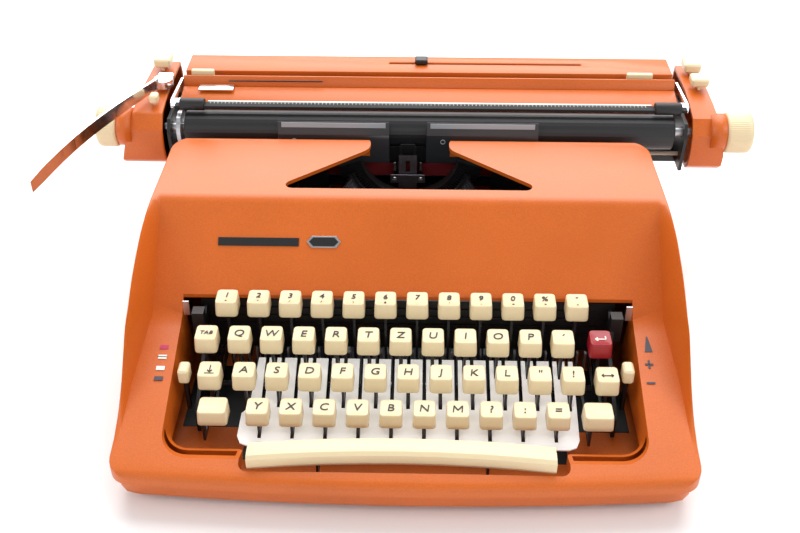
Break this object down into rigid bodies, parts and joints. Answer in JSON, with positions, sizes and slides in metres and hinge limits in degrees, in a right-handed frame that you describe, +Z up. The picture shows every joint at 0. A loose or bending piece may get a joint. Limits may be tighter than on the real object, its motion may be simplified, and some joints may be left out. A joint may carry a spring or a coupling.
{
  "type": "typewriter",
  "caption": "Portable manual typewriter in a moulded orange case, with a sliding carriage, rubber platen, return lever, paper bail and a four-bank keyboard.",
  "frame": {"origin": "middle of the bounding box's underside, on the desk", "axes": "+X to the typist's right along the carriage, +Y away from the typist, +Z up"},
  "size_m": [0.4638, 0.323, 0.131],
  "materials": {
    "orange_case": "fine moulded grain, satin",
    "cream_keys": "smooth moulded",
    "red_key": "smooth moulded",
    "black_metal": "black satin enamel",
    "bright_steel": "bright zinc and ground steel",
    "chrome_trim": "polished plating",
    "rubber": "ground hard rubber",
    "white_plate": "white enamel",
    "smoked_plastic": "clear grey sheet",
    "red_ribbon": "woven inked tape"
  },
  "bodies": {
    "base": {"base_tray": "orange_case", "foot_front_left": "rubber", "foot_front_right": "rubber", "foot_rear_left": "rubber", "foot_rear_right": "rubber", "upper_shell": "orange_case", "rear_panel": "orange_case", "main_frame": "black_metal", "fulcrum_rod": "bright_steel", "carriage_rail_front": "bright_steel", "carriage_rail_rear": "bright_steel", "key_plate": "white_plate", "lever_comb": "black_metal", "type_guide": "bright_steel", "ribbon": "red_ribbon", "card_holder_left": "smoked_plastic", "card_holder_right": "smoked_plastic"},
    "key_row_1": {"key_row_1": "cream_keys"},
    "key_row_2": {"key_row_2": "cream_keys"},
    "key_row_3": {"key_row_3": "cream_keys"},
    "key_row_4": {"key_row_4": "cream_keys"},
    "tab_key": {"tab_key": "cream_keys"},
    "shift_lock_key": {"shift_lock_key": "cream_keys"},
    "shift_key_left": {"shift_key_left": "cream_keys"},
    "shift_key_right": {"shift_key_right": "cream_keys"},
    "backspace_key": {"backspace_key": "red_key"},
    "margin_release_key": {"margin_release_key": "cream_keys"},
    "space_bar": {"space_bar": "cream_keys"},
    "type_basket": {"type_segment": "black_metal", "typebars": "black_metal"},
    "ribbon_vibrator": {"ribbon_vibrator": "bright_steel"},
    "ribbon_spool_left": {"ribbon_spool_left": "black_metal"},
    "ribbon_spool_right": {"ribbon_spool_right": "black_metal"},
    "mainspring_drum": {"mainspring_drum": "bright_steel"},
    "colour_selector": {"colour_selector": "cream_keys"},
    "touch_selector": {"touch_selector": "cream_keys"},
    "carriage": {"carriage_frame": "black_metal", "end_cap_left": "orange_case", "end_cap_right": "orange_case", "front_cover": "orange_case", "paper_table": "orange_case", "rear_cover": "orange_case"},
    "platen": {"platen": "rubber", "platen_shaft": "bright_steel", "knob_left": "cream_keys", "knob_right": "cream_keys", "ratchet_wheel": "bright_steel"},
    "feed_roller": {"feed_roller": "rubber"},
    "paper_bail": {"paper_bail": "chrome_trim"},
    "return_lever": {"return_lever": "chrome_trim"},
    "line_space_selector": {"line_space_selector": "cream_keys"},
    "carriage_release_left": {"carriage_release_left": "cream_keys"},
    "carriage_release_right": {"carriage_release_right": "cream_keys"},
    "paper_release_lever": {"paper_release_lever": "cream_keys"},
    "margin_stop_left": {"margin_stop_left": "cream_keys"},
    "margin_stop_right": {"margin_stop_right": "cream_keys"},
    "paper_side_guide": {"paper_side_guide": "chrome_trim"},
    "rear_slider": {"rear_slider": "black_metal"}
  },
  "joints": [
    {"name": "key_row_1_press", "type": "hinge", "parent": "base", "child": "key_row_1", "pos_m": [-0.00195, 0.0465, 0.024], "axis": [1, 0, 0], "range_deg": [0, 4.65], "stiffness_Nm_per_rad": 1, "springref_deg": -17.19},
    {"name": "key_row_2_press", "type": "hinge", "parent": "base", "child": "key_row_2", "pos_m": [-0.00195, 0.0465, 0.024], "axis": [1, 0, 0], "range_deg": [0, 3.83], "stiffness_Nm_per_rad": 1, "springref_deg": -17.19},
    {"name": "key_row_3_press", "type": "hinge", "parent": "base", "child": "key_row_3", "pos_m": [-0.00195, 0.0465, 0.024], "axis": [1, 0, 0], "range_deg": [0, 3.26], "stiffness_Nm_per_rad": 1, "springref_deg": -17.19},
    {"name": "key_row_4_press", "type": "hinge", "parent": "base", "child": "key_row_4", "pos_m": [-0.00195, 0.0465, 0.024], "axis": [1, 0, 0], "range_deg": [0, 2.6], "stiffness_Nm_per_rad": 1, "springref_deg": -17.19},
    {"name": "tab_key_press", "type": "hinge", "parent": "base", "child": "tab_key", "pos_m": [-0.00195, 0.0465, 0.024], "axis": [1, 0, 0], "range_deg": [0, 3.83], "stiffness_Nm_per_rad": 0.15, "springref_deg": -17.19},
    {"name": "shift_lock_key_press", "type": "hinge", "parent": "base", "child": "shift_lock_key", "pos_m": [-0.00195, 0.0465, 0.024], "axis": [1, 0, 0], "range_deg": [0, 3.26]},
    {"name": "shift_key_left_press", "type": "hinge", "parent": "base", "child": "shift_key_left", "pos_m": [-0.00195, 0.0465, 0.024], "axis": [1, 0, 0], "range_deg": [0, 2.86], "stiffness_Nm_per_rad": 0.15, "springref_deg": -17.19},
    {"name": "shift_key_right_press", "type": "hinge", "parent": "base", "child": "shift_key_right", "pos_m": [-0.00195, 0.0465, 0.024], "axis": [1, 0, 0], "range_deg": [0, 2.86], "stiffness_Nm_per_rad": 0.15, "springref_deg": -17.19},
    {"name": "backspace_key_press", "type": "hinge", "parent": "base", "child": "backspace_key", "pos_m": [-0.00195, 0.0465, 0.024], "axis": [1, 0, 0], "range_deg": [0, 3.83], "stiffness_Nm_per_rad": 0.15, "springref_deg": -17.19},
    {"name": "margin_release_key_press", "type": "hinge", "parent": "base", "child": "margin_release_key", "pos_m": [-0.00195, 0.0465, 0.024], "axis": [1, 0, 0], "range_deg": [0, 3.26], "stiffness_Nm_per_rad": 0.15, "springref_deg": -17.19},
    {"name": "space_bar_press", "type": "hinge", "parent": "base", "child": "space_bar", "pos_m": [-0.00195, 0.0465, 0.024], "axis": [1, 0, 0], "range_deg": [0, 1.84], "stiffness_Nm_per_rad": 0.4, "springref_deg": -17.19},
    {"name": "basket_shift", "type": "slide", "parent": "base", "child": "type_basket", "axis": [0, 0, -1], "range_m": [0, 0.006], "stiffness_N_per_m": 50, "springref_m": -0.03},
    {"name": "ribbon_lift", "type": "slide", "parent": "base", "child": "ribbon_vibrator", "axis": [0, 0, 1], "range_m": [0, 0.008], "stiffness_N_per_m": 20, "springref_m": -0.004},
    {"name": "ribbon_spool_left_spin", "type": "hinge", "parent": "base", "child": "ribbon_spool_left", "pos_m": [-0.09395, 0.0375, 0.082], "axis": [0, 0, 1], "continuous": true},
    {"name": "ribbon_spool_right_spin", "type": "hinge", "parent": "base", "child": "ribbon_spool_right", "pos_m": [0.09005, 0.0375, 0.082], "axis": [0, 0, 1], "continuous": true},
    {"name": "mainspring_drum_spin", "type": "hinge", "parent": "base", "child": "mainspring_drum", "pos_m": [-0.07195, 0.1075, 0.034], "axis": [0, 1, 0], "range_deg": [-690, 580]},
    {"name": "colour_select", "type": "slide", "parent": "base", "child": "colour_selector", "axis": [0, 0.9649, 0.2625], "range_m": [-0.006, 0.006]},
    {"name": "touch_select", "type": "slide", "parent": "base", "child": "touch_selector", "axis": [0, 0.9649, 0.2625], "range_m": [-0.006, 0.006]},
    {"name": "carriage_slide", "type": "slide", "parent": "base", "child": "carriage", "axis": [1, 0, 0], "range_m": [-0.155, 0.13]},
    {"name": "platen_spin", "type": "hinge", "parent": "carriage", "child": "platen", "pos_m": [-0.00195, 0.0915, 0.1045], "axis": [1, 0, 0], "continuous": true},
    {"name": "feed_roller_spin", "type": "hinge", "parent": "carriage", "child": "feed_roller", "pos_m": [-0.00195, 0.0935, 0.0865], "axis": [1, 0, 0], "continuous": true},
    {"name": "paper_bail_lift", "type": "hinge", "parent": "carriage", "child": "paper_bail", "pos_m": [-0.00195, 0.1325, 0.118], "axis": [-1, 0, 0], "range_deg": [0, 60]},
    {"name": "return_lever_swing", "type": "hinge", "parent": "carriage", "child": "return_lever", "pos_m": [-0.17395, 0.1165, 0.126], "axis": [0, 0, 1], "range_deg": [0, 10], "stiffness_Nm_per_rad": 0.3, "springref_deg": -11.46},
    {"name": "line_space_select", "type": "hinge", "parent": "carriage", "child": "line_space_selector", "pos_m": [-0.17695, 0.0965, 0.1206], "axis": [1, 0, 0], "range_deg": [-12, 12]},
    {"name": "carriage_release_left_press", "type": "hinge", "parent": "carriage", "child": "carriage_release_left", "pos_m": [-0.17995, 0.1465, 0.1226], "axis": [1, 0, 0], "range_deg": [0, 4], "stiffness_Nm_per_rad": 0.05, "springref_deg": -5.73},
    {"name": "carriage_release_right_press", "type": "hinge", "parent": "carriage", "child": "carriage_release_right", "pos_m": [0.19705, 0.1465, 0.1226], "axis": [1, 0, 0], "range_deg": [0, 4], "stiffness_Nm_per_rad": 0.05, "springref_deg": -5.73},
    {"name": "paper_release_swing", "type": "hinge", "parent": "carriage", "child": "paper_release_lever", "pos_m": [0.19805, 0.1235, 0.1226], "axis": [1, 0, 0], "range_deg": [0, 8]},
    {"name": "margin_stop_left_slide", "type": "slide", "parent": "carriage", "child": "margin_stop_left", "axis": [1, 0, 0], "range_m": [0, 0.14]},
    {"name": "margin_stop_right_slide", "type": "slide", "parent": "carriage", "child": "margin_stop_right", "axis": [1, 0, 0], "range_m": [-0.14, 0]},
    {"name": "paper_side_guide_slide", "type": "slide", "parent": "carriage", "child": "paper_side_guide", "axis": [1, 0, 0], "range_m": [0, 0.05]},
    {"name": "rear_slider_slide", "type": "slide", "parent": "carriage", "child": "rear_slider", "axis": [1, 0, 0], "range_m": [-0.019, 0.11]}
  ],
  "couplings": [
    {"joint": "shift_key_right_press", "follows": "shift_key_left_press", "ratio": 1},
    {"joint": "basket_shift", "follows": "shift_key_left_press", "m_per_rad": 0.12008},
    {"joint": "ribbon_spool_right_spin", "follows": "ribbon_spool_left_spin", "ratio": 1},
    {"joint": "feed_roller_spin", "follows": "platen_spin", "ratio": -2.4},
    {"joint": "mainspring_drum_spin", "follows": "carriage_slide", "rad_per_m": 76.923}
  ]
}
